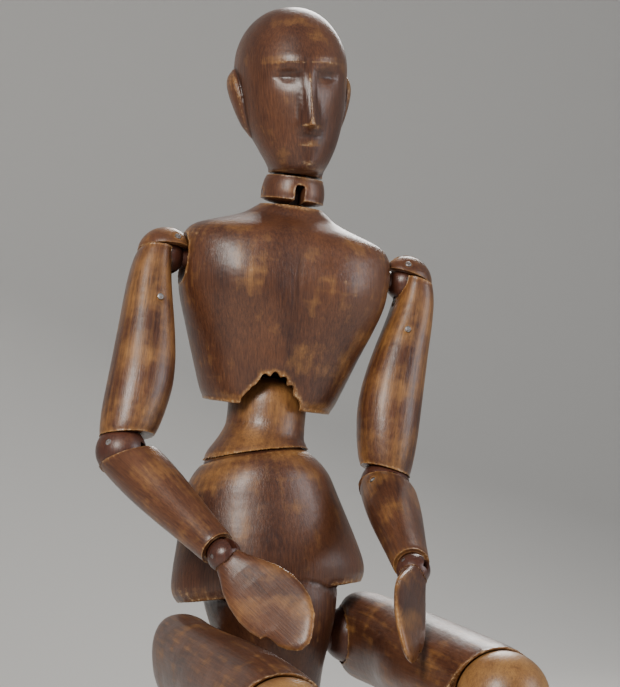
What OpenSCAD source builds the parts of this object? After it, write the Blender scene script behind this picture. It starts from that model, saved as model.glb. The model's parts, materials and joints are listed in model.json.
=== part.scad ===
// Artist's lay figure: a jointed wooden mannequin, sitting, with its legs over the edge of a seat.
// Frame: +Z up, the figure faces -Y and its own left side is +X.
// The origin is on the sawn flat under the pelvis. Each limb is modelled hanging down from its
// upper joint, front to -Y, and is then carried into place along the chain of joint frames.

/* [Head and neck] */
// Width of the head across the temples
head_w = 77; // [72:1:82]
// Depth of the head from brow to back
head_d = 98; // [92:1:104]
// Height of the head from neck seam to crown
head_h = 118; // [110:1:126]
// Largest diameter of the neck barrel
neck_d = 44.8; // [42:0.2:48]

/* [Trunk] */
// Width of the chest at the armholes
chest_w = 149; // [146:1:154]
// Depth of the chest at the breast
chest_d = 90; // [86:1:96]
// Wall of the hollow lower chest
chest_wall = 5; // [4:0.5:6]
// Diameter of the round seam between waist and pelvis
waist_seam_d = 74; // [72:1:76]
// Narrowest diameter of the waist
waist_d = 54.6; // [50:0.2:58]
// Greatest width of the pelvis
pelvis_w = 138; // [134:1:144]

/* [Limbs] */
// Shoulder centre to elbow centre
upper_arm_l = 144; // [138:1:150]
// Elbow centre to wrist centre
forearm_l = 118; // [112:1:124]
// Wrist centre to fingertip
hand_l = 89; // [84:1:94]
// Hip centre to knee centre
thigh_l = 218; // [212:1:226]
// Knee centre to ankle centre
shin_l = 200; // [190:1:210]
// Length of the foot
foot_l = 137; // [130:1:144]

/* [Joint balls] */
// Shoulder ball
shoulder_ball_d = 26; // [25:0.5:27]
// Elbow ball
elbow_ball_d = 34; // [33:0.5:35]
// Wrist ball
wrist_ball_d = 22; // [21:0.5:23]
// Hip ball
hip_ball_d = 40; // [38:0.5:41]
// Knee ball
knee_ball_d = 58; // [57:0.5:59]
// Ankle ball
ankle_ball_d = 30; // [29:0.5:31]

/* [Trunk pose] */
// Pelvis leaning over to the figure's left
pelvis_roll = -4.5; // [-6:0.5:6]
// Pelvis leaning back
pelvis_lean = 6.5; // [4:0.5:12]
// Waist turned on the pelvis
waist_turn = -5; // [-10:1:10]
// Waist leaning over to the figure's left
waist_tilt = 12.5; // [0:0.5:13]
// Chest bent forward over the waist
chest_bend = 7; // [0:1:8]
// Chest turned on the waist
chest_turn = -1; // [-10:1:10]
// Head turned on the neck
head_turn = 2; // [-40:1:40]

/* [Hidden] */

$fn = 64;
RIGHT = -1;
LEFT = 1;

// Clearances: a turning fit, the side of a tongue in its slot, and a cup round its ball
fit = 0.05;
side_gap = 0.15;
cup_gap = 0.45;

// Pose of the arms, by side: [right, left]
swing = [-19, -13.5];
raise = [8.5, -2];
arm_twist = [-47.5, -1.5];
elbow_bend = [53.5, 52];
forearm_twist = [29, 37];
wrist_bend = [-5, -14];
hand_twist = [236, -164];
// Pose of the legs, by side
hip_bend = [79.5, 79];
hip_spread = [5.5, 2.5];
leg_twist = [-3, 3];
knee_bend = [86, 85.5];
head_tilt = -8;

// Where the joints sit in the piece that carries them
hip_x = 56;
hip_z = 37;
waist_pivot_z = 102;
chest_pivot_z = 88;
neck_base = [0, 2, 113];
neck_pivot_z = 7.5;
neck_top_z = 13;
shoulder_x = [83.5, 87];
shoulder_z = [67, 71];

// Radii of the joint balls
shoulder_r = shoulder_ball_d / 2;
elbow_r = elbow_ball_d / 2;
wrist_r = wrist_ball_d / 2;
hip_r = hip_ball_d / 2;
knee_r = knee_ball_d / 2;
ankle_r = ankle_ball_d / 2;
waist_r = 15;

// Joint sets: [tongue thickness, tongue half width, pin radius, stem radius]
small_set = [4.5, 4.2, 1.6, 3.2];
arm_set = [6, 5.5, 2.2, 5.5];
ankle_set = [6, 6, 2.2, 6];
trunk_set = [8, 7, 3, 7];
hip_set = [8, 8, 3, 9];
knee_set = [9, 10, 3.5, 10];
neck_set = [5.5, 5.5, 2, 7];

// Shared radii of the shoulder dome and of the domed waist seam
dome_r = 20;
seam_r = waist_seam_d / 2;
seam_z = 25;
seam_ball_r = sqrt(seam_r * seam_r + seam_z * seam_z);
seam_slope = -0.08;
seam_gap = 1.3;
cap_z = 2.6;
cap_slope = 0.2;
peg_r = 7;

dark_wood = [0.25, 0.12, 0.06];
red_wood = [0.36, 0.17, 0.08];
worn_wood = [0.55, 0.32, 0.13];
iron = [0.3, 0.3, 0.32];

// ---- Frames ----

function move(v) = [[1, 0, 0, v.x], [0, 1, 0, v.y], [0, 0, 1, v.z], [0, 0, 0, 1]];
function turn_x(a) = [[1, 0, 0, 0], [0, cos(a), -sin(a), 0], [0, sin(a), cos(a), 0], [0, 0, 0, 1]];
function turn_y(a) = [[cos(a), 0, sin(a), 0], [0, 1, 0, 0], [-sin(a), 0, cos(a), 0], [0, 0, 0, 1]];
function turn_z(a) = [[cos(a), -sin(a), 0, 0], [sin(a), cos(a), 0, 0], [0, 0, 1, 0], [0, 0, 0, 1]];
function of_side(pair, s) = s == RIGHT ? pair[0] : pair[1];

pelvis_at = move([0, 0, hip_z]) * turn_y(pelvis_roll) * turn_x(-pelvis_lean);
waist_ball_at = pelvis_at * move([0, 0, waist_pivot_z]) * turn_z(waist_turn);
waist_at = waist_ball_at * turn_y(waist_tilt);
chest_ball_at = waist_at * move([0, 0, chest_pivot_z]) * turn_x(chest_bend);
chest_at = chest_ball_at * turn_z(chest_turn);
neck_at = chest_at * move(neck_base) * move([0, 0, neck_pivot_z]);
head_turn_at = neck_at * move([0, 0, neck_top_z]) * turn_z(head_turn);
head_at = head_turn_at * turn_y(head_tilt);

function shoulder_at(s) =
    chest_at * move([s * of_side(shoulder_x, s), 0, of_side(shoulder_z, s)]) * turn_x(of_side(swing, s));
function upper_arm_at(s) = shoulder_at(s) * turn_y(-s * of_side(raise, s));
function elbow_at(s) =
    upper_arm_at(s) * move([0, 0, -upper_arm_l]) * turn_z(s * of_side(arm_twist, s));
function elbow_tongue_at(s) = elbow_at(s) * turn_x(-of_side(elbow_bend, s));
function forearm_at(s) = elbow_tongue_at(s) * turn_z(s * of_side(forearm_twist, s));
function wrist_at(s) =
    forearm_at(s) * move([0, 0, -forearm_l]) * turn_x(-of_side(wrist_bend, s));
function hand_at(s) = wrist_at(s) * turn_z(s * of_side(hand_twist, s));
function hip_at(s) = pelvis_at * move([s * hip_x, 0, 0]) * turn_x(-of_side(hip_bend, s));
function thigh_at(s) = hip_at(s) * turn_y(-s * of_side(hip_spread, s));
function knee_at(s) = thigh_at(s) * move([0, 0, -thigh_l]) * turn_z(s * of_side(leg_twist, s));
function shin_at(s) = knee_at(s) * turn_x(of_side(knee_bend, s));
function ankle_at(s) = shin_at(s) * move([0, 0, -shin_l]);

// ---- Lofted shapes ----
// A row is [height, left edge, right edge, front, back, roundness]; 2 is an ellipse and more is boxier.

function signed_power(v, p) = sign(v) * pow(abs(v), p);

// Points run round from the back; front_bias above 1 crowds them towards the front
function ring(row, sides, front_bias = 1) =
    let (
        middle_x = (row[1] + row[2]) / 2, half_x = (row[2] - row[1]) / 2,
        middle_y = (row[3] + row[4]) / 2, half_y = (row[4] - row[3]) / 2
    )
    [for (i = [0:sides - 1])
        let (a = 180 * signed_power(2 * i / sides - 1, front_bias))
        [
            middle_x + half_x * signed_power(sin(a), 2 / row[5]),
            middle_y - half_y * signed_power(cos(a), 2 / row[5]),
            row[0]
        ]
    ];

function bump(t, centre, width) = exp(-pow((t - centre) / width, 2));
function ramp(t, t0, t1) = min(1, max(0, (t - t0) / (t1 - t0)));
function row_at(rows, i) = rows[max(0, min(len(rows) - 1, i))];
function between_rows(rows, i, t) =
    let (a = row_at(rows, i - 1), b = row_at(rows, i), c = row_at(rows, i + 1), d = row_at(rows, i + 2))
    (2 * b + (c - a) * t + (2 * a - 5 * b + 4 * c - d) * t * t + (3 * b - a - 3 * c + d) * t * t * t) / 2;
function smooth_rows(rows, steps) = [
    for (i = [0:len(rows) - 2]) for (j = [0:steps - 1]) between_rows(rows, i, j / steps),
    rows[len(rows) - 1]
];

// Rows are written for the left side; the right side is their mirror image
function for_side(rows, s) =
    [for (r = rows) s == LEFT ? r : [r[0], -r[2], -r[1], r[3], r[4], r[5]]];
function stretched(rows, kz, kx = 1, ky = 1) =
    [for (r = rows) [r[0] * kz, r[1] * kx, r[2] * kx, r[3] * ky, r[4] * ky, r[5]]];

module skin(rings) {
    sides = len(rings[0]);
    last = len(rings) - 1;
    polyhedron(
        [for (r = rings) each r],
        concat(
            [[for (i = [0:sides - 1]) i]],
            [[for (i = [sides - 1:-1:0]) last * sides + i]],
            [for (k = [0:last - 1]) for (i = [0:sides - 1])
                let (a = k * sides + i, b = k * sides + (i + 1) % sides)
                each [[a, a + sides, b], [b, a + sides, b + sides]]]
        )
    );
}

module loft(rows, sides = 24, steps = 2) {
    skin([for (r = smooth_rows(rows, steps)) ring(r, sides)]);
}

// A turned solid from [radius, height] keys, bottom to top
module turned(keys, steps = 3) {
    rows = smooth_rows(keys, steps);
    rotate_extrude() polygon(concat([[0, keys[0][1]]], rows, [[0, keys[len(keys) - 1][1]]]));
}

// Everything above a plane through height z at the middle, rising to +Y by slope_y and to +X by slope_x
module above_plane(z, slope_x = 0, slope_y = 0, reach = 120) {
    translate([0, 0, z])
        rotate([atan(slope_y), -atan(slope_x), 0])
            translate([-reach, -reach, 0])
                cube([2 * reach, 2 * reach, reach]);
}

// ---- Joint pieces ----
// A knuckle is a ball whose slot opens down and to the front; its stem, a child, points up.

module across(r, h) {
    rotate([0, 90, 0]) cylinder(r = r, h = h, center = true);
}

module knuckle(r, set, front, back) {
    slot = set[0] + 2 * side_gap;
    difference() {
        union() {
            sphere(r = r);
            children();
        }
        translate([-slot / 2, -front, -2 * r])
            cube([slot, front + back, 2 * r + set[1] + cup_gap]);
        across(set[2], 2 * r + 2);
    }
}

// A round well cut out as a stack of narrow cones
module well(r) {
    rotate_extrude() polygon([for (a = [-90:10:90]) [r * cos(a), r * sin(a)]]);
}

module pin(r, set) {
    across(set[2], 2 * (sqrt(r * r - set[2] * set[2]) - 0.5));
}

// A tongue hangs down from its pin hole
module tongue(set, length) {
    difference() {
        union() {
            across(set[1], set[0]);
            translate([-set[0] / 2, -set[1], -length]) cube([set[0], 2 * set[1], length]);
        }
        across(set[2] + fit, set[0] + 2);
    }
}

// A round stem from height z0 to z1 with a groove for the tip of a nail
module stem(r, z0, z1, groove_z) {
    difference() {
        translate([0, 0, z0]) cylinder(r = r, h = z1 - z0);
        translate([0, 0, groove_z - 1.8])
            difference() {
                cylinder(r = r + 1, h = 3.6);
                cylinder(r = r - 1.2, h = 3.6);
            }
    }
}

module bore(r, z0, z1) {
    translate([0, 0, z0]) cylinder(r = r + fit, h = z1 - z0);
}

// A brad from its tip at the origin to its domed head, along +Z
module brad(length, shank_r = 1.2, head_r = 2.1) {
    cylinder(r = shank_r, h = length - 0.6);
    intersection() {
        translate([0, 0, length - 0.6]) cylinder(r = head_r, h = 1.2);
        translate([0, 0, length - 3.2]) sphere(r = 4);
    }
}

module brad_hole(length, shank_r = 1.2, head_r = 2.1) {
    cylinder(r = shank_r, h = length);
    translate([0, 0, length - 0.6]) cylinder(r = head_r, h = 12);
}

// ---- Trunk ----

pelvis_rows = [
    [34.8, -64, 64, -46, 45, 2.3], [38, -67, 67, -48, 47, 2.2], [44, -69, 69, -50, 48.5, 2.1],
    [55, -67, 67, -51, 48.5, 2.1], [75, -61, 61, -50, 47, 2.1], [98, -54.5, 54.5, -47, 45, 2],
    [110, -51, 51, -46, 44, 2], [119, -46, 45.5, -43.5, 41.5, 2], [125, -40.5, 40, -40.5, 39, 2],
    [128, -37, 37, -38, 36, 2], [131, -31, 31, -34, 32, 2]
];
crotch_rows = [
    [-42, -26, 26, -22, 34, 2.6], [-30, -27, 27, -30, 40, 2.6], [-20, -28.5, 28.5, -36, 43, 2.5],
    [-12, -31, 31, -40, 45, 2.4], [0, -36, 36, -45, 47, 2.3], [12, -40, 40, -47.5, 47.5, 2.3],
    [25, -43.2, 43.2, -49.5, 48, 2.3], [36, -44, 44, -50, 48.5, 2.3], [48, -44, 44, -48, 47, 2.3]
];

module pelvis() {
    wide = pelvis_w / 138;
    color(red_wood)
        difference() {
            multmatrix(pelvis_at)
                difference() {
                    union() {
                        difference() {
                            loft(stretched(pelvis_rows, 1, wide), 40);
                            translate([0, 0, waist_pivot_z]) above_plane(seam_z, 0, seam_slope);
                        }
                        loft(crotch_rows, 32);
                        // dome that the waist sits on
                        translate([0, 0, waist_pivot_z])
                            intersection() {
                                sphere(r = seam_ball_r - cup_gap);
                                above_plane(seam_z - 5);
                                cylinder(r = seam_r - 2, h = 60);
                            }
                    }
                    for (s = [RIGHT, LEFT]) {
                        translate([s * hip_x, 0, 0]) sphere(r = hip_r + cup_gap);
                        translate([s * (hip_x - 22), 0, 0]) across(hip_set[3] + fit, 44);
                    }
                    // well for the lower waist ball, open at the top, and the bore of its stem
                    translate([0, 0, waist_pivot_z]) {
                        sphere(r = waist_r + cup_gap);
                        cylinder(r = waist_r + 3, h = 60);
                        bore(trunk_set[3], -52, 0);
                    }
                }
            translate([-100, -100, -100]) cube([200, 200, 100]);
        }
}

module waist_lower_ball() {
    color(dark_wood)
        multmatrix(waist_ball_at * turn_z(90) * turn_x(180))
            knuckle(waist_r, trunk_set, waist_r + 1, waist_r + 1)
                stem(trunk_set[3], 6, 50, 34);
}

module waist_lower_pin() {
    color(iron) multmatrix(waist_ball_at * turn_z(90)) pin(waist_r, trunk_set);
}

// The waist leans away from its seam, so its rings turn bit by bit from the seam to the lean of the axis
waist_keys = [
    [seam_r - 0.6, 18], [seam_r, 27], [seam_r - 0.7, 29.5], [seam_r - 3.6, 33.5], [waist_d / 2 + 3, 38],
    [waist_d / 2 + 0.8, 44], [waist_d / 2, 50], [waist_d / 2 + 0.1, 57], [waist_d / 2 + 0.2, 63],
    [waist_d / 2 - 0.6, 69], [waist_d / 2 - 3, 75], [waist_d / 2 - 8, 80]
];
function leaning_ring(key, sides) =
    let (m = turn_y(waist_tilt * ramp(key[1], 18, 46)))
    [for (i = [0:sides - 1])
        let (a = 360 * i / sides, p = m * [key[0] * cos(a), key[0] * sin(a), key[1], 1])
        [p.x, p.y, p.z]];

module waist() {
    color(red_wood) {
        difference() {
            multmatrix(waist_ball_at)
                difference() {
                    skin([for (k = smooth_rows(waist_keys, 2)) leaning_ring(k, 36)]);
                    rotate([180, 0, 0]) above_plane(-seam_z - seam_gap, 0, seam_slope);
                    sphere(r = seam_ball_r);
                }
            multmatrix(waist_at) translate([0, 0, chest_pivot_z]) sphere(r = waist_r + cup_gap);
        }
        multmatrix(waist_at) {
            intersection() {
                translate([0, 0, chest_pivot_z]) tongue(trunk_set, 22);
                cylinder(r = 14, h = 120);
            }
            rotate([0, 0, 90]) rotate([180, 0, 0]) tongue(trunk_set, 50);
        }
    }
}

module waist_upper_ball() {
    color(dark_wood)
        multmatrix(chest_ball_at)
            knuckle(waist_r, trunk_set, waist_r + 1, waist_r + 1)
                stem(trunk_set[3], 6, 44, 34);
}

module waist_upper_pin() {
    color(iron) multmatrix(chest_ball_at) pin(waist_r, trunk_set);
}

chest_rows = [
    [-27, -44.8, 44.8, -36.5, 37.5, 2.2], [-22, -47.5, 47.5, -39, 40, 2.2], [-5, -54, 54, -41, 41.5, 2.2],
    [14, -61, 61, -43, 43, 2.2], [30, -67, 67, -45.5, 43.5, 2.3], [48, -73, 73, -47.5, 43.5, 2.4],
    [64, -75.5, 75.5, -47, 43, 2.4], [80, -75, 75, -44, 41.5, 2.4], [88, -72.5, 72.5, -41.5, 40, 2.3],
    [93, -66.5, 66.5, -38.5, 38, 2.2], [97, -55.5, 55.5, -34.5, 35.5, 2.1],
    [101, -43, 43, -29, 31, 2], [105, -32.5, 32.5, -25, 27.5, 2], [110, -26, 26, -22.5, 25.5, 2],
    [113, -22.6, 22.6, -20.6, 24.6, 2]
];
cavity_rows = [
    [-32, -43, 43, -35.5, 36.5, 2.2], [-22, -47.5, 47.5, -39, 40, 2.2], [-5, -54, 54, -41, 41.5, 2.2],
    [14, -61, 61, -43, 43, 2.2], [30, -63, 63, -43, 41, 2.2], [40, -58, 58, -38, 36, 2.2],
    [45, -46, 46, -28, 27, 2.2]
];

// Two broad breasts with a shallow hollow between them, and a flatter belly below
function breast(x, z) =
    3.2 * exp(-pow((abs(x) - 36) / 20, 2) - pow((z - 62) / 20, 2))
    - 1.8 * exp(-pow(x / 9, 2) - pow((z - 60) / 30, 2));
function breasted(points) = [for (p = points) p.y < 0 ? [p.x, p.y - breast(p.x, p.z), p.z] : p];

// Outline of the piece broken out of the front edge, left to right and back below it
break_outline = [
    [-25, -23], [-20, -15], [-17, -12], [-13, -4], [-9, -6.5], [-6, -2], [-1.5, -6], [2, -4.5],
    [3.5, -11], [7.5, -10], [9, -17], [13, -19.5], [15, -23], [16, -40], [-26, -40]
];

module chest() {
    rows = stretched(chest_rows, 1, chest_w / 151, chest_d / 90);
    hollow = [for (r = stretched(cavity_rows, 1, chest_w / 151, chest_d / 90))
        [r[0], r[1] + chest_wall, r[2] - chest_wall, r[3] + chest_wall, r[4] - chest_wall, r[5]]];
    color(red_wood)
        multmatrix(chest_at)
            difference() {
                union() {
                    difference() {
                        skin([for (r = smooth_rows(rows, 2)) breasted(ring(r, 48))]);
                        loft(hollow, 36);
                    }
                    cylinder(r = 15, h = 60);
                }
                sphere(r = waist_r + cup_gap);
                bore(trunk_set[3], 0, 46);
                translate(neck_base) bore(neck_set[3], -34, 2);
                for (s = [RIGHT, LEFT])
                    translate([s * of_side(shoulder_x, s), 0, of_side(shoulder_z, s)]) {
                        sphere(r = dome_r + cup_gap);
                        translate([-s * 21.25, 0, 0]) across(peg_r + fit, 42.5);
                    }
                rotate([90, 0, 0]) linear_extrude(80) polygon(break_outline);
            }
}

// ---- Neck and head ----

module neck_tongue() {
    color(dark_wood)
        multmatrix(neck_at) {
            tongue(neck_set, neck_pivot_z + 1);
            stem(neck_set[3], -neck_pivot_z - 33, -neck_pivot_z - 0.2, -neck_pivot_z - 22);
        }
}

module neck_pin() {
    color(iron) multmatrix(neck_at) across(neck_set[2], 2 * sqrt(neck_d * neck_d / 4 - 4) - 1.5);
}

module neck() {
    r = neck_d / 2;
    slot = neck_set[0] + 2 * side_gap;
    floor_z = 0.3 - neck_pivot_z;
    color(red_wood)
        multmatrix(neck_at)
            union() {
                difference() {
                    turned([
                        [8, floor_z], [r - 1, floor_z + 2.2], [r - 0.2, floor_z + 5], [r, floor_z + 9],
                        [r - 0.8, floor_z + 14], [r - 2.2, neck_top_z - 0.3]
                    ]);
                    translate([-slot / 2, -r - 1, -20]) cube([slot, r + 1 + 6.5, 26]);
                    across(neck_set[2], neck_d + 2);
                }
                stem(neck_set[3], neck_top_z - 1, 44, 31);
            }
}

head_rows = [
    [0, -14, 14, -12, 16, 2], [2, -17, 17, -29, 18, 2], [6, -20, 20, -33, 20, 2],
    [11, -22.5, 22.5, -34.8, 21.5, 2], [17, -25.8, 25.8, -36, 25, 2], [26, -29.6, 29.6, -37, 32, 2.05],
    [36, -33, 33, -37.5, 41, 2.1], [46, -35.5, 35.5, -38, 49.5, 2.1], [56, -37, 37, -38.5, 55.5, 2.1],
    [66, -38, 38, -39, 58.5, 2.1], [76, -38.5, 38.5, -38.8, 59.2, 2.1], [86, -37.5, 37.5, -36.5, 58, 2.05],
    [96, -34.2, 34.2, -31.5, 53.5, 2], [105, -28.5, 28.5, -24, 45.5, 2], [112, -21, 21, -15.5, 35, 2],
    [116.3, -12.5, 12.5, -6, 24, 2], [118, -5, 5, 2, 14, 2]
];
ear_rows = [
    [27, 27, 31, 3, 8, 2], [33, 29, 35.5, 1, 13, 2], [44, 32, 40, 0, 18, 2], [56, 34, 43.5, 0, 23, 2],
    [65, 35, 45, 3, 25, 2], [71, 36, 43.5, 8, 24.5, 2], [75, 36, 40, 13, 22, 2]
];

// How far the face stands forward of the plain egg at a point
function relief(x, z) =
    let (a = abs(x))
    11 * ramp(z, 72, 34) * ramp(z, 28, 32.5) * bump(x, 0, 3.6 + 2.2 * ramp(z, 55, 35))
    - 5.2 * bump(a, 14.5, 8.5) * bump(z, 67, 6)
    + 2.2 * bump(z, 77, 5) * bump(a, 12, 16)
    + 1.8 * bump(z, 19.5, 4.2) * bump(x, 0, 10)
    - 1.4 * bump(z, 18, 1.6) * bump(x, 0, 8)
    + 2.4 * bump(z, 7, 5) * bump(x, 0, 9)
    - 2 * bump(a, 22, 8) * bump(z, 37, 12);
function faced(points) = [for (p = points) p.y < -5 ? [p.x, p.y - relief(p.x, p.z), p.z] : p];

module head() {
    kz = head_h / 118;
    kx = head_w / 77;
    ky = head_d / 98;
    color(red_wood)
        difference() {
            union() {
                multmatrix(head_at) {
                    skin([for (r = smooth_rows(stretched(head_rows, kz, kx, ky), 3))
                        faced(ring(r, 44, 1.35))]);
                    for (s = [RIGHT, LEFT])
                        loft(for_side(stretched(ear_rows, kz, kx, ky), s), 12);
                }
                multmatrix(head_turn_at)
                    translate([0, 0, 0.3]) cylinder(r = neck_d / 2 - 3, h = 22);
            }
            multmatrix(head_turn_at) {
                translate([-60, -60, -30]) cube([120, 120, 30.3]);
                bore(neck_set[3], -1, 33);
                translate([0, neck_set[3] - 0.8, 18]) rotate([-90, 0, 0]) brad_hole(18);
            }
        }
}

module head_nail() {
    color(iron)
        multmatrix(head_turn_at)
            translate([0, neck_set[3] - 0.8, 18]) rotate([-90, 0, 0]) brad(18);
}

// ---- Arms ----

upper_arm_rows = [
    [-142, -16.4, 16.2, -16.8, 16.6, 2], [-136, -17.8, 17, -17.8, 17.2, 2],
    [-125, -20.8, 18.6, -20, 19.5, 2], [-112, -23, 19.5, -21.5, 20.5, 2.1],
    [-95, -24.3, 19.9, -22.5, 21, 2.2], [-83, -23.6, 20.2, -22.5, 21, 2.2],
    [-70, -21.5, 20.5, -22, 20.5, 2.3], [-50, -16.5, 21, -21, 20, 2.4],
    [-30, -10.4, 21.6, -20, 19.5, 2.6], [-15, -6.4, 21.4, -19.6, 19.5, 2.7],
    [-5, -5, 20.4, -19.4, 19.4, 2.5], [4, -4.4, 19.4, -19.2, 19.2, 2.3], [12, -4, 18, -18.4, 18.4, 2.2]
];
arm_nail_z = -38;
// Height of the lower rim above the elbow centre and its slope, by side
rim_z = [10.5, 8.5];
rim_slope = [0.26, 0.15];
cap_nail_angle = 62;

module shoulder_ball(s) {
    color(dark_wood)
        multmatrix(shoulder_at(s) * turn_z(s * 90))
            knuckle(shoulder_r, arm_set, shoulder_r + 1, arm_set[1] + 1.4)
                rotate([-90, 0, 0]) stem(peg_r, 8, 42, 34);
}

module shoulder_pin(s) {
    color(iron) multmatrix(shoulder_at(s) * turn_z(90)) pin(shoulder_r, arm_set);
}

module shoulder_tongue(s) {
    color(worn_wood)
        multmatrix(upper_arm_at(s)) {
            rotate([0, 0, 90]) tongue(arm_set, 17);
            stem(arm_set[3], -46, -16, arm_nail_z);
        }
}

module upper_arm(s) {
    elbow = [0, 0, -upper_arm_l];
    color(red_wood)
        multmatrix(upper_arm_at(s))
            difference() {
                loft(for_side(stretched(upper_arm_rows, upper_arm_l / 144), s));
                above_plane(cap_z - 0.1, -s * cap_slope);
                well(shoulder_r + cup_gap);
                bore(arm_set[3], -47, 0);
                bore(arm_set[3] + 1, -18, 0);
                translate([0, -4.4, arm_nail_z]) rotate([90, 0, 0]) brad_hole(16.2);
                translate(elbow) {
                    sphere(r = elbow_r + cup_gap);
                    bore(arm_set[3] + 1, 0, 44);
                    rotate([180, 0, 0]) above_plane(-of_side(rim_z, s), s * of_side(rim_slope, s), 0.06);
                }
            }
}

// The cap is open towards the chest, so the stem of the ball can pass when the arm is raised
module shoulder_cap(s) {
    slot = 2 * peg_r + 1.2;
    color(worn_wood)
        multmatrix(upper_arm_at(s))
            difference() {
                rotate([0, s * atan(cap_slope), 0])
                    difference() {
                        intersection() {
                            sphere(r = dome_r);
                            above_plane(cap_z * cos(atan(cap_slope)));
                        }
                        sphere(r = shoulder_r + cup_gap);
                    }
                translate([s * (slot / 2 - 20) - 20, -slot / 2, -30]) cube([40, slot, 60]);
                rotate([0, 0, -s * 10]) rotate([cap_nail_angle, 0, 0]) translate([0, 0, 13.4]) brad_hole(6.3);
            }
}

module arm_nails(s) {
    color(iron)
        multmatrix(upper_arm_at(s)) {
            translate([0, -4.4, arm_nail_z]) rotate([90, 0, 0]) brad(16.2);
            rotate([0, 0, -s * 10]) rotate([cap_nail_angle, 0, 0]) translate([0, 0, 13.6]) brad(6.1);
        }
}

module elbow_ball(s) {
    color(dark_wood)
        multmatrix(elbow_at(s))
            knuckle(elbow_r, arm_set, elbow_r + 1, arm_set[1] + cup_gap)
                stem(arm_set[3] + 1, 10, 43, 30);
}

module elbow_pin(s) {
    color(iron) multmatrix(elbow_at(s)) pin(elbow_r, arm_set);
}

module elbow_tongue(s) {
    color(worn_wood)
        multmatrix(elbow_tongue_at(s)) {
            tongue(arm_set, 21);
            stem(arm_set[3], -48, -20, -26);
        }
}

forearm_rows = [
    [-114, -12, 12, -11.8, 11.8, 2], [-109, -12.9, 12.9, -12.5, 12.5, 2], [-95, -13.9, 14, -13.4, 13.4, 2],
    [-75, -15.6, 15.8, -15.2, 15, 2.05], [-50, -17.8, 18, -17.5, 17, 2.1], [-30, -18.8, 18.8, -18.6, 18, 2.1],
    [-12, -18.6, 18.6, -18.6, 18.3, 2], [0, -17.9, 17.9, -17.8, 17.8, 2], [8, -17.2, 17.2, -17.2, 17.2, 2]
];

// The forearm brad is driven in at a slant, from just below the rim down to the stem
module forearm_brad_at(s) {
    translate([-s * 5.2, 0, -26]) rotate([0, -s * 57, 0]) children();
}

module forearm(s) {
    color(red_wood)
        multmatrix(forearm_at(s)) {
            difference() {
                loft(for_side(stretched(forearm_rows, forearm_l / 118), s));
                rotate([atan(0.7), 0, 0]) sphere(r = elbow_r + cup_gap);
                above_plane(-6.5, 0, 0.7);
                bore(arm_set[3], -49, 0);
                bore(arm_set[3] + 1, -22, 0);
                forearm_brad_at(s) brad_hole(15.2);
                translate([0, 0, -forearm_l]) {
                    sphere(r = wrist_r + cup_gap);
                    rotate([180, 0, 0]) above_plane(-7);
                }
            }
            translate([0, 0, -forearm_l]) rotate([180, 0, 0]) tongue(small_set, 20);
        }
}

module forearm_nail(s) {
    color(iron) multmatrix(forearm_at(s)) forearm_brad_at(s) brad(15.2);
}

module wrist_ball(s) {
    color(dark_wood)
        multmatrix(wrist_at(s) * turn_x(180))
            knuckle(wrist_r, small_set, wrist_r + 1, wrist_r + 1)
                stem(small_set[3], 6, 27, 20);
}

module wrist_pin(s) {
    color(iron) multmatrix(wrist_at(s)) pin(wrist_r, small_set);
}

// A flat paddle with the thumb laid along one edge and ending in a small step
hand_rows = [
    [-89, -1, 6, -1.2, 1.2, 2], [-87, -4, 9.5, -2.2, 2.2, 2.2], [-82, -8, 15, -2.8, 2.8, 2.4],
    [-76, -11, 20.5, -3.1, 3.1, 2.6], [-66, -12.5, 24.8, -3.4, 3.4, 2.8], [-64, -16.6, 25.4, -3.5, 3.5, 2.8],
    [-55, -19.4, 26.6, -3.7, 3.7, 2.8], [-44, -20.6, 26.2, -4, 4, 2.8], [-32, -19.6, 23, -4.5, 4.5, 2.7],
    [-20, -16.6, 17, -5.6, 5.6, 2.5], [-12, -12.5, 12.5, -7.2, 7.2, 2.3], [-5.5, -10.4, 10.4, -8.8, 8.8, 2.1]
];

module hand(s) {
    color(red_wood)
        multmatrix(hand_at(s))
            difference() {
                loft(for_side(stretched(hand_rows, hand_l / 89), s), 28, 1);
                well(wrist_r + cup_gap);
                bore(small_set[3], -28, 0);
            }
}

// ---- Legs ----

thigh_rows = [
    [-216, -30.6, 30.6, -30.6, 30.6, 2], [-208, -31.3, 31.3, -31.3, 31.3, 2],
    [-190, -31.8, 32, -32, 31.8, 2], [-160, -31, 32.5, -32.2, 31.8, 2],
    [-130, -28.5, 33, -31.8, 32, 2.1], [-100, -24, 33.2, -31.3, 32, 2.2],
    [-70, -17.5, 32.8, -30.6, 32.2, 2.3], [-45, -13, 32.2, -29.8, 32.5, 2.5],
    [-20, -11.5, 31.8, -29.2, 32.8, 2.6], [0, -11.5, 31.5, -29, 33, 2.5], [10, -8, 30, -27.6, 31.4, 2.3],
    [20, -2, 25.5, -23.5, 26.5, 2.1], [28, 3, 18, -16, 17.5, 2], [32.4, 6, 11.5, -7, 7, 2]
];
shin_rows = [
    [-196, -13.6, 13.6, -13.6, 13.8, 2], [-188, -14.4, 14.4, -14.4, 15, 2],
    [-168, -16.4, 16.4, -16.6, 19, 2], [-140, -20.5, 20.5, -20, 26, 2], [-110, -24.6, 24.6, -23, 31.5, 2],
    [-85, -27, 27, -25.5, 33.5, 2], [-60, -28, 28, -27.5, 32.5, 2], [-35, -29, 29, -29, 31, 2],
    [-10, -30.2, 30.2, -30.2, 30.4, 2], [8, -30.4, 30.4, -30.4, 30.4, 2]
];
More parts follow.
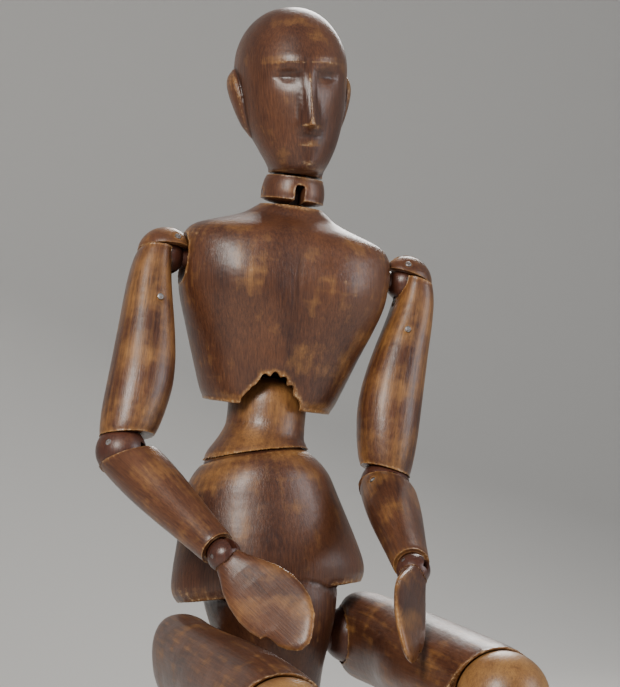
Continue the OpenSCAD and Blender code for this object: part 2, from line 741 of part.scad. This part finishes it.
// Rows along the foot, heel to toe: the third and fourth edges are the sole and the instep
foot_rows = [
    [-31, -9, 9, -46, -28, 2.2], [-28, -15, 15, -48, -19, 2.4], [-18, -19, 19, -49, -9, 2.6],
    [-5, -20.5, 20.5, -49, -5, 2.6], [12, -20.5, 21, -49, -6.5, 2.5], [30, -20.5, 21.5, -49, -14, 2.4],
    [50, -22, 22.5, -49, -22, 2.4], [70, -24, 23, -49, -27.5, 2.4], [88, -23, 21.5, -49, -31.5, 2.4],
    [100, -18, 16, -48, -35.5, 2.3], [106, -9, 7, -47, -40, 2.2]
];
sole_z = -45;

module hip_ball(s) {
    color(dark_wood)
        multmatrix(hip_at(s) * turn_z(s * 90))
            knuckle(hip_r, hip_set, hip_r + 1, hip_set[1] + cup_gap)
                rotate([-90, 0, 0]) stem(hip_set[3], 12, 43.5, 38);
}

module hip_pin(s) {
    color(iron) multmatrix(hip_at(s) * turn_z(90)) pin(hip_r, hip_set);
}

module thigh(s) {
    color(red_wood)
        multmatrix(thigh_at(s)) {
            difference() {
                loft(for_side(stretched(thigh_rows, thigh_l / 218), s), 24);
                sphere(r = hip_r + cup_gap);
                translate([0, 0, -thigh_l]) {
                    sphere(r = knee_r + cup_gap);
                    bore(knee_set[3], 0, 66);
                    rotate([180, 0, 0]) above_plane(-18, 0, 0.39);
                }
            }
            rotate([0, 0, 90]) tongue(hip_set, 34);
        }
}

module knee_ball(s) {
    color(worn_wood)
        multmatrix(knee_at(s) * turn_z(180))
            knuckle(knee_r, knee_set, knee_r + 1, knee_set[1] + cup_gap)
                stem(knee_set[3], 20, 65, 48);
}

module knee_pin(s) {
    color(iron) multmatrix(knee_at(s)) pin(knee_r, knee_set);
}

module shin(s) {
    color(red_wood)
        multmatrix(shin_at(s)) {
            difference() {
                loft(stretched(shin_rows, shin_l / 200), 28);
                sphere(r = knee_r + cup_gap);
                above_plane(-16.5, 0, -0.69);
                translate([0, 0, -shin_l]) {
                    sphere(r = ankle_r + cup_gap);
                    rotate([180, 0, 0]) above_plane(-9);
                }
            }
            tongue(knee_set, 42);
            translate([0, 0, -shin_l]) rotate([180, 0, 0]) tongue(ankle_set, 24);
        }
}

module ankle_ball(s) {
    color(dark_wood)
        multmatrix(ankle_at(s) * turn_x(180))
            knuckle(ankle_r, ankle_set, ankle_r + 1, ankle_r + 1)
                stem(ankle_set[3], 9, 32, 26);
}

module ankle_pin(s) {
    color(iron) multmatrix(ankle_at(s)) pin(ankle_r, ankle_set);
}

module foot(s) {
    color(red_wood)
        multmatrix(ankle_at(s))
            difference() {
                rotate([90, 0, 0]) loft(for_side(stretched(foot_rows, foot_l / 137), s), 28);
                sphere(r = ankle_r + cup_gap);
                bore(ankle_set[3], -33, 0);
                translate([-60, -160, sole_z - 60]) cube([120, 220, 60]);
            }
}

pelvis();
waist_lower_ball();
waist_lower_pin();
waist();
waist_upper_ball();
waist_upper_pin();
chest();
neck_tongue();
neck_pin();
neck();
head();
head_nail();
shoulder_ball(RIGHT);  // right_shoulder_ball
shoulder_pin(RIGHT);  // right_shoulder_pin
shoulder_tongue(RIGHT);  // right_shoulder_tongue
upper_arm(RIGHT);  // right_upper_arm
shoulder_cap(RIGHT);  // right_shoulder_cap
arm_nails(RIGHT);  // right_arm_nails
elbow_ball(RIGHT);  // right_elbow_ball
elbow_pin(RIGHT);  // right_elbow_pin
elbow_tongue(RIGHT);  // right_elbow_tongue
forearm(RIGHT);  // right_forearm
forearm_nail(RIGHT);  // right_forearm_nail
wrist_ball(RIGHT);  // right_wrist_ball
wrist_pin(RIGHT);  // right_wrist_pin
hand(RIGHT);  // right_hand
shoulder_ball(LEFT);  // left_shoulder_ball
shoulder_pin(LEFT);  // left_shoulder_pin
shoulder_tongue(LEFT);  // left_shoulder_tongue
upper_arm(LEFT);  // left_upper_arm
shoulder_cap(LEFT);  // left_shoulder_cap
arm_nails(LEFT);  // left_arm_nails
elbow_ball(LEFT);  // left_elbow_ball
elbow_pin(LEFT);  // left_elbow_pin
elbow_tongue(LEFT);  // left_elbow_tongue
forearm(LEFT);  // left_forearm
forearm_nail(LEFT);  // left_forearm_nail
wrist_ball(LEFT);  // left_wrist_ball
wrist_pin(LEFT);  // left_wrist_pin
hand(LEFT);  // left_hand
hip_ball(RIGHT);  // right_hip_ball
hip_pin(RIGHT);  // right_hip_pin
thigh(RIGHT);  // right_thigh
knee_ball(RIGHT);  // right_knee_ball
knee_pin(RIGHT);  // right_knee_pin
shin(RIGHT);  // right_shin
ankle_ball(RIGHT);  // right_ankle_ball
ankle_pin(RIGHT);  // right_ankle_pin
foot(RIGHT);  // right_foot
hip_ball(LEFT);  // left_hip_ball
hip_pin(LEFT);  // left_hip_pin
thigh(LEFT);  // left_thigh
knee_ball(LEFT);  // left_knee_ball
knee_pin(LEFT);  // left_knee_pin
shin(LEFT);  // left_shin
ankle_ball(LEFT);  // left_ankle_ball
ankle_pin(LEFT);  // left_ankle_pin
foot(LEFT);  // left_foot
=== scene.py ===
import json
import math

import bpy
import numpy as np
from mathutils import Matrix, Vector


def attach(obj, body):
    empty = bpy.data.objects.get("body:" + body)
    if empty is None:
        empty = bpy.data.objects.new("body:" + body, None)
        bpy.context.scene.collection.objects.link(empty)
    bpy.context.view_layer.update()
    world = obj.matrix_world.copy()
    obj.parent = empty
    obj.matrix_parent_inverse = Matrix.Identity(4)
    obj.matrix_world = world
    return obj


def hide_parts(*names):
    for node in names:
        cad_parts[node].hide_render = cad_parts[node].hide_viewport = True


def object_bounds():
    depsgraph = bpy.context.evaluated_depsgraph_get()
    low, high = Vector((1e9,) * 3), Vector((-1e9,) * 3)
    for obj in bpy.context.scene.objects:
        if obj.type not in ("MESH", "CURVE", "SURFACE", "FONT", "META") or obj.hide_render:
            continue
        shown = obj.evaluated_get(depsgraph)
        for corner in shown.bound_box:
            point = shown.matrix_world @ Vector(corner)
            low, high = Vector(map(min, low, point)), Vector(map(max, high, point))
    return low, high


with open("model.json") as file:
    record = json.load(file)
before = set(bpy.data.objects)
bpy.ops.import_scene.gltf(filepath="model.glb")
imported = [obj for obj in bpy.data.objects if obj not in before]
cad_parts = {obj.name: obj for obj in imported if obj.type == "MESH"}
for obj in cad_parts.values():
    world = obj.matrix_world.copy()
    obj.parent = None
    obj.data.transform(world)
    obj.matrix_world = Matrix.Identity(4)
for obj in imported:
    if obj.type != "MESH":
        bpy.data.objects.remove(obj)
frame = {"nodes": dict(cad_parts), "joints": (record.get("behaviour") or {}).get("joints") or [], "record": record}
cad_low, cad_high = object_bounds()

JOINTS = {j["name"]: j for j in frame["joints"]}
SLOTS = {s["node"]: s["material_slot"] for s in frame["record"]["subparts"]}
BODY_OF = {n: b for b, nodes in frame["record"]["behaviour"]["bodies"].items() for n in nodes}

# piece: grain direction (x, y, z or its own length), voxel in mm, base wear, carved depth in mm
CARVED = {
    "pelvis": ("z", 0.9, 0.10, 0.25),
    "waist": ("z", 0.7, 0.34, 0.22),
    "chest": ("z", 0.9, 0.16, 0.30),
    "neck": ("z", 0.6, 0.22, 0.12),
    "head": ("z", 0.7, 0.14, 0.20),
    "shoulder_cap": ("long", 0.5, 0.30, 0.15),
    "upper_arm": ("long", 0.6, 0.42, 0.18),
    "forearm": ("long", 0.6, 0.26, 0.18),
    "hand": ("long", 0.45, 0.24, 0.16),
    "thigh": ("long", 0.9, 0.18, 0.25),
    "shin": ("long", 0.8, 0.20, 0.22),
    "foot": ("long", 0.7, 0.22, 0.20),
}


def nodes_of(kind):
    """The CAD nodes of one kind: the trunk's one, or the right and left pair."""
    return [n for n in (kind, "right_" + kind, "left_" + kind) if n in frame["nodes"]]


def smooth_normals(co, tri):
    n = np.cross(co[tri[:, 1]] - co[tri[:, 0]], co[tri[:, 2]] - co[tri[:, 0]])
    out = np.zeros_like(co)
    for k in range(3):
        for a in range(3):
            out[:, a] += np.bincount(tri[:, k], n[:, a], len(co))
    return out / np.maximum(np.linalg.norm(out, axis=1), 1e-12)[:, None]


def relax(values, edges, times):
    """Averages a value over each vertex's neighbours."""
    count = np.bincount(edges.ravel(), minlength=len(values)).astype(float)
    v = values.copy()
    for _ in range(times):
        s = np.empty_like(v)
        for a in range(v.shape[1]):
            s[:, a] = np.bincount(edges[:, 0], v[edges[:, 1], a], len(v))
            s[:, a] += np.bincount(edges[:, 1], v[edges[:, 0], a], len(v))
        v = s / np.maximum(count, 1)[:, None]
    return v


def waves(p, seed, size, octaves=3):
    """Smooth repeatable noise from -1 to 1 at each point, in metres."""
    rng = np.random.RandomState(seed)
    out = np.zeros(len(p))
    for o in range(octaves):
        for _ in range(6):
            d = rng.normal(size=3)
            d *= 2 * math.pi * 2**o / (size * np.linalg.norm(d))
            out += np.sin(p @ d + rng.uniform(0, 6.28)) / (6 * 1.6**o)
    return out


def own_axes(co, grain):
    """Rows are the piece's cross axes and, last, its grain direction."""
    if grain == "z":
        return np.eye(3)
    w, v = np.linalg.eigh(np.cov((co - co.mean(0)).T))
    return np.array([v[:, 0], v[:, 1], v[:, 2]])


def carved_copy(node, voxel):
    """A fine closed copy of a CAD node's shape with worn edges."""
    src = frame["nodes"][node]
    mesh = src.data.copy()
    mesh.materials.clear()
    obj = bpy.data.objects.new("wood_" + node, mesh)
    bpy.context.scene.collection.objects.link(obj)
    rm = obj.modifiers.new("remesh", "REMESH")
    rm.mode = "VOXEL"
    rm.voxel_size = voxel / 1000 * 1
    rm.use_smooth_shade = True
    sm = obj.modifiers.new("smooth", "SMOOTH")
    sm.factor = 0.5
    sm.iterations = 3
    deps = bpy.context.evaluated_depsgraph_get()
    fine = bpy.data.meshes.new_from_object(obj.evaluated_get(deps))
    obj.modifiers.clear()
    obj.data = fine
    return obj


def put(mesh, name, kind, values):
    a = mesh.attributes.new(name, kind, "POINT")
    key = "vector" if kind == "FLOAT_VECTOR" else "value"
    a.data.foreach_set(key, np.ascontiguousarray(values, np.float32).ravel())


def wear_of(kind, p, low, high, base):
    """Where hands rubbed the stain off, from 0 to 1 over the piece's box."""
    u = (p - low) / np.maximum(high - low, 1e-6)
    w = np.full(len(p), base)
    front = 1 - u[:, 1]
    if kind == "waist":
        w += 0.35 * np.exp(-((u[:, 0] - 0.4) ** 2) / 0.08) * front
    if kind == "chest":
        w += 0.45 * np.exp(-((u[:, 2] - 0.22) ** 2) / 0.03) * front * u[:, 0]
        w += 0.20 * np.exp(-(u[:, 2] ** 2) / 0.01)
    if kind == "pelvis":
        w += 0.25 * np.exp(-((u[:, 2] - 0.9) ** 2) / 0.02)
    if kind in ("hand", "foot"):
        w += 0.15 * front
    return w


def finish_wood(kind, node, seed):
    grain, voxel, base, depth = CARVED[kind]
    obj = carved_copy(node, voxel)
    me = obj.data
    co = np.empty(len(me.vertices) * 3, np.float32)
    me.vertices.foreach_get("co", co)
    co = co.reshape(-1, 3).astype(float)
    me.calc_loop_triangles()
    tri = np.empty(len(me.loop_triangles) * 3, np.int32)
    me.loop_triangles.foreach_get("vertices", tri)
    tri = tri.reshape(-1, 3)
    ed = np.empty(len(me.edges) * 2, np.int32)
    me.edges.foreach_get("vertices", ed)
    ed = ed.reshape(-1, 2)
    nor = smooth_normals(co, tri)
    bend = np.sum((co - relax(co, ed, 14)) * nor, axis=1) * 1000
    # the flats between carved edges are scraped round, always inwards, and true edges stay sharp
    calm = relax(np.clip((0.5 - np.abs(bend)) / 0.25, 0, 1)[:, None], ed, 4)[:, 0]
    scrape = np.sum((relax(co, ed, 60) - co) * nor, axis=1)
    co += nor * (np.clip(scrape, -0.0008, 0) * calm)[:, None]
    axes = own_axes(co, grain)
    local = (co - co.mean(0)) @ axes.T
    low, high = co.min(0), co.max(0)
    # tool marks run across the grain, dents and rubbed corners lie anywhere
    cut = waves(local * [1, 1, 2.2], seed, 0.016) * 0.35 + waves(local, seed + 50, 0.045) * 0.5
    line = waves(local * [1, 1, 0.06], seed + 80, 0.0035, 2) * 0.18
    inward = depth * 0.5 * (cut + line - 1.05) - np.clip(bend - 0.15, 0, 0.6) * 0.35
    co += nor * (np.clip(inward, -0.9, 0) / 1000)[:, None]
    me.vertices.foreach_set("co", co.astype(np.float32).ravel())
    me.update()
    put(me, "grain", "FLOAT_VECTOR", local)
    put(me, "edge", "FLOAT", np.clip(bend / 0.35, 0, 1))
    # painted shade: a mask of the concave creases, used to darken their colour
    put(me, "hollow", "FLOAT", np.clip(-bend / 0.35, 0, 1))
    put(me, "wear", "FLOAT", wear_of(kind, co, low, high, base))
    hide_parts(node)
    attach(obj, BODY_OF[node])
    return obj


class Graph:
    """Short names for building a material."""

    def __init__(self, name):
        self.mat = bpy.data.materials.new(name)
        self.mat.use_nodes = True
        self.tree = self.mat.node_tree
        self.shader = self.tree.nodes["Principled BSDF"]

    def node(self, kind, **inputs):
        n = self.tree.nodes.new(kind)
        for key, value in inputs.items():
            self.set(n, key.replace("_", " "), value)
        return n

    def set(self, n, key, value):
        if isinstance(value, bpy.types.NodeSocket):
            self.tree.links.new(value, n.inputs[key])
        else:
            n.inputs[key].default_value = value

    def value(self, name):
        n = self.tree.nodes.new("ShaderNodeAttribute")
        n.attribute_name = name
        return n

    def stretch(self, vector, scale):
        n = self.node("ShaderNodeMapping", Vector=vector)
        n.inputs["Scale"].default_value = scale
        return n.outputs["Vector"]

    def noise(self, vector, scale, detail=5.0, rough=0.6):
        n = self.node("ShaderNodeTexNoise", Vector=vector, Scale=scale, Detail=detail, Roughness=rough)
        return n.outputs[0]

    def range(self, value, a, b, c=0.0, d=1.0):
        n = self.node("ShaderNodeMapRange", Value=value)
        for key, v in (("From Min", a), ("From Max", b), ("To Min", c), ("To Max", d)):
            n.inputs[key].default_value = v
        return n.outputs["Result"]

    def math(self, op, a, b):
        n = self.tree.nodes.new("ShaderNodeMath")
        n.operation = op
        for i, v in enumerate((a, b)):
            if isinstance(v, bpy.types.NodeSocket):
                self.tree.links.new(v, n.inputs[i])
            else:
                n.inputs[i].default_value = v
        return n.outputs[0]

    def mix(self, factor, a, b):
        n = self.tree.nodes.new("ShaderNodeMix")
        n.data_type = "RGBA"
        for i, v in ((0, factor), (6, a), (7, b)):
            if isinstance(v, bpy.types.NodeSocket):
                self.tree.links.new(v, n.inputs[i])
            else:
                n.inputs[i].default_value = v
        return n.outputs[2]

    def bump(self, height, strength, distance):
        n = self.node("ShaderNodeBump", Height=height, Strength=strength, Distance=distance)
        self.tree.links.new(n.outputs["Normal"], self.shader.inputs["Normal"])


def wood(name, dark, mid, honey, pale, painted, rough=0.34, wear_shift=0.0):
    """Old stained wood with painted shade darkening its concave creases. painted pieces read their own grain, wear
    and crease shade, others use object coordinates.
    """
    g = Graph(name)
    if painted:
        coord = g.value("grain").outputs["Vector"]
    else:
        coord = g.tree.nodes.new("ShaderNodeTexCoord").outputs["Object"]
    broad = g.noise(g.stretch(coord, (1, 1, 0.35)), 26.0, 4.0)
    fibre = g.noise(g.stretch(coord, (1, 1, 0.035)), 900.0, 4.0, 0.65)
    pore = g.noise(g.stretch(coord, (1, 1, 0.06)), 2300.0, 2.0, 0.5)
    patch = g.noise(coord, 42.0, 5.0, 0.62)
    speck = g.noise(coord, 420.0, 4.0, 0.7)
    tone = g.math("ADD", g.math("MULTIPLY", broad, 0.6), g.math("MULTIPLY", fibre, 0.55))
    color = g.mix(g.range(tone, 0.42, 0.74), dark, mid)
    if painted:
        edge = g.value("edge").outputs["Fac"]
        # the concave-crease mask read here is painted shade
        hollow = g.value("hollow").outputs["Fac"]
        worn = g.value("wear").outputs["Fac"]
    else:
        edge, hollow, worn = 0.0, 0.0, 0.2
    amount = g.math("ADD", g.math("MULTIPLY", worn, 0.9), g.math("MULTIPLY", g.range(patch, 0.42, 0.75), 0.55))
    amount = g.math("ADD", amount, g.math("MULTIPLY", edge, 0.45))
    amount = g.range(g.math("ADD", amount, wear_shift), 0.42, 1.05)
    color = g.mix(g.math("MULTIPLY", amount, g.range(fibre, 0.3, 0.7, 0.55, 1.0)), color, honey)
    chip = g.math("MULTIPLY", g.range(edge, 0.45, 1.0), g.range(speck, 0.50, 0.66))
    color = g.mix(g.math("MULTIPLY", chip, 0.85), color, pale)
    color = g.mix(g.math("MULTIPLY", g.range(pore, 0.56, 0.72), 0.6), color, (0.03, 0.012, 0.008, 1))
    # painted shade: concave creases are darkened towards near black
    color = g.mix(g.math("MULTIPLY", hollow, 0.75), color, (0.022, 0.009, 0.007, 1))
    g.tree.links.new(color, g.shader.inputs["Base Color"])
    g.set(g.shader, "Roughness", g.range(g.math("ADD", patch, g.math("MULTIPLY", chip, 0.5)), 0.3, 1.0, rough, rough + 0.35))
    g.set(g.shader, "Coat Weight", 0.28)
    g.set(g.shader, "Coat Roughness", 0.28)
    g.set(g.shader, "IOR", 1.48)
    height = g.math("ADD", g.math("MULTIPLY", fibre, 0.6), g.math("MULTIPLY", pore, -0.5))
    g.bump(g.math("ADD", height, g.math("MULTIPLY", speck, 0.25)), 0.45, 0.0005)
    return g.mat


def iron():
    """Dull grey nail iron with brown rust."""
    g = Graph("old_iron")
    coord = g.tree.nodes.new("ShaderNodeTexCoord").outputs["Object"]
    spots = g.noise(coord, 700.0, 6.0, 0.7)
    color = g.mix(g.range(spots, 0.45, 0.65), (0.33, 0.33, 0.34, 1), (0.16, 0.09, 0.055, 1))
    g.tree.links.new(color, g.shader.inputs["Base Color"])
    g.set(g.shader, "Metallic", 0.8)
    g.set(g.shader, "Roughness", g.range(spots, 0.3, 0.7, 0.35, 0.7))
    g.bump(spots, 0.4, 0.0003)
    return g.mat


def paint(obj, mat):
    obj.data.materials.clear()
    obj.data.materials.append(mat)


def build_woods():
    body = wood("stained_wood", (0.045, 0.015, 0.009, 1), (0.165, 0.062, 0.026, 1), (0.44, 0.205, 0.055, 1), (0.62, 0.42, 0.22, 1), True, 0.29)
    seed = 3
    for kind in CARVED:
        for node in nodes_of(kind):
            seed += 7
            paint(finish_wood(kind, node, seed), body)


def build_carried():
    """Balls, tongues, pins and nails keep their exact shape and get their own finishes."""
    ball = wood("ball_wood", (0.035, 0.012, 0.009, 1), (0.12, 0.040, 0.022, 1), (0.28, 0.115, 0.04, 1), (0.5, 0.3, 0.15, 1), False, 0.26)
    golden = wood("golden_ball_wood", (0.12, 0.05, 0.02, 1), (0.34, 0.16, 0.05, 1), (0.52, 0.27, 0.08, 1), (0.6, 0.4, 0.2, 1), False, 0.28, 0.3)
    tongue = wood("tongue_wood", (0.035, 0.014, 0.010, 1), (0.12, 0.045, 0.025, 1), (0.25, 0.11, 0.04, 1), (0.5, 0.3, 0.15, 1), False, 0.42)
    metal = iron()
    mats = {"ball_wood": ball, "worn_ball_wood": golden, "tongue_wood": tongue, "iron": metal}
    for node, obj in frame["nodes"].items():
        if obj.hide_render:
            continue
        paint(obj, mats[SLOTS[node]])


def flat_material(name, color, rough):
    m = bpy.data.materials.new(name)
    m.use_nodes = True
    s = m.node_tree.nodes["Principled BSDF"]
    s.inputs["Base Color"].default_value = color
    s.inputs["Roughness"].default_value = rough
    return m


def build_stage():
    low, high = cad_low, cad_high
    h = low[2] - 0.002
    pts = [(-3.0, 0.0)]
    pts += [(1.6 + 0.9 * math.sin(a), 0.9 - 0.9 * math.cos(a)) for a in np.linspace(0, math.pi / 2, 16)]
    pts += [(2.5, 4.0)]
    verts = [(x, y, h + z) for y, z in pts for x in (-5.0, 5.0)]
    faces = [(2 * i, 2 * i + 1, 2 * i + 3, 2 * i + 2) for i in range(len(pts) - 1)]
    me = bpy.data.meshes.new("floor")
    me.from_pydata(verts, [], faces)
    me.shade_smooth()
    floor = bpy.data.objects.new("floor", me)
    bpy.context.scene.collection.objects.link(floor)
    paint(floor, flat_material("pale_floor", (0.62, 0.61, 0.59, 1), 0.8))


def area(name, at, aim, size, power, color):
    d = bpy.data.lights.new(name, "AREA")
    d.shape = "RECTANGLE"
    d.size, d.size_y = size
    d.energy = power
    d.color = color
    o = bpy.data.objects.new(name, d)
    bpy.context.scene.collection.objects.link(o)
    o.location = at
    o.rotation_euler = (Vector(aim) - Vector(at)).to_track_quat("-Z", "Y").to_euler()
    return o


def build_lights(aim):
    area("key", (-1.3, -1.5, 1.4), aim, (0.6, 0.9), 50, (1.0, 0.96, 0.9))
    area("fill", (1.6, -1.2, 0.7), aim, (0.9, 1.2), 16, (0.92, 0.95, 1.0))
    area("rim", (0.9, 1.5, 1.3), aim, (0.6, 1.0), 22, (1.0, 0.98, 0.95))
    w = bpy.data.worlds.new("studio")
    bpy.context.scene.world = w
    w.use_nodes = True
    w.node_tree.nodes["Background"].inputs[0].default_value = (0.9, 0.92, 0.95, 1)
    w.node_tree.nodes["Background"].inputs[1].default_value = 0.25


def build_camera(aim):
    turn = math.radians(-21.6)
    cam = bpy.data.cameras.new("camera")
    cam.sensor_fit = "AUTO"
    cam.angle = math.radians(15.7)
    cam.dof.use_dof = False
    o = bpy.data.objects.new("camera", cam)
    bpy.context.scene.collection.objects.link(o)
    back = Vector((math.sin(turn), -math.cos(turn), 0))
    o.location = Vector(aim) + back * 1.7
    o.rotation_euler = (-back).to_track_quat("-Z", "Y").to_euler()
    bpy.context.scene.camera = o


build_woods()
build_carried()
aim = (0.022, -0.009, 0.242)
build_stage()
build_lights(aim)
build_camera(aim)
